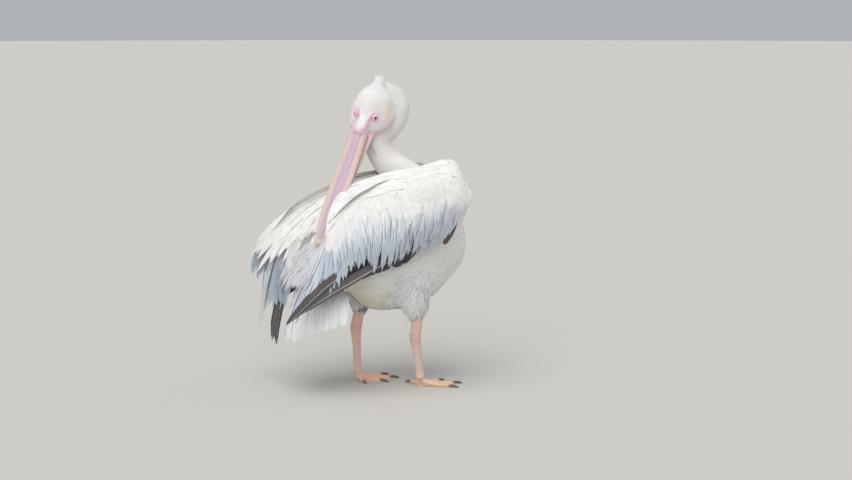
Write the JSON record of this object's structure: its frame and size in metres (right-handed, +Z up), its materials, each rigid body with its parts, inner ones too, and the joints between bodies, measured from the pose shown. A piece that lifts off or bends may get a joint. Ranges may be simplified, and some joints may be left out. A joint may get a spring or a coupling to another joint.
{
  "type": "great white pelican model",
  "caption": "Life-size still model of a great white pelican, standing with its head turned back over its shoulder to preen.",
  "frame": {"origin": "middle of the bounding box's floor, on the ground under the belly", "axes": "+X the way the breast faces, +Y the bird's left, +Z up"},
  "size_m": [0.5836, 0.3274, 0.847],
  "materials": {
    "plumage": "matt white feathers",
    "flight": "satin blackish feathers",
    "face": "soft bare skin and short feathers",
    "bill": "smooth horn",
    "pouch": "thin bare skin",
    "eye": "wet and glossy",
    "leg": "scaly bare skin",
    "claw": "smooth horn"
  },
  "bodies": {
    "root": {"head": "face", "left_claw_1": "claw", "left_claw_2": "claw", "left_claw_3": "claw", "left_claw_4": "claw", "left_coverts": "plumage", "left_eye": "eye", "left_foot": "leg", "left_primaries": "flight", "left_scapulars": "plumage", "left_secondaries": "flight", "left_shank": "leg", "left_tertials": "plumage", "left_thigh": "plumage", "lower_bill": "bill", "neck_lower": "plumage", "neck_upper": "plumage", "pouch": "pouch", "right_claw_1": "claw", "right_claw_2": "claw", "right_claw_3": "claw", "right_claw_4": "claw", "right_coverts": "plumage", "right_eye": "eye", "right_foot": "leg", "right_primaries": "flight", "right_scapulars": "plumage", "right_secondaries": "flight", "right_shank": "leg", "right_tertials": "plumage", "right_thigh": "plumage", "tail": "plumage", "trunk": "plumage", "upper_bill": "bill"}
  },
  "joints": []
}
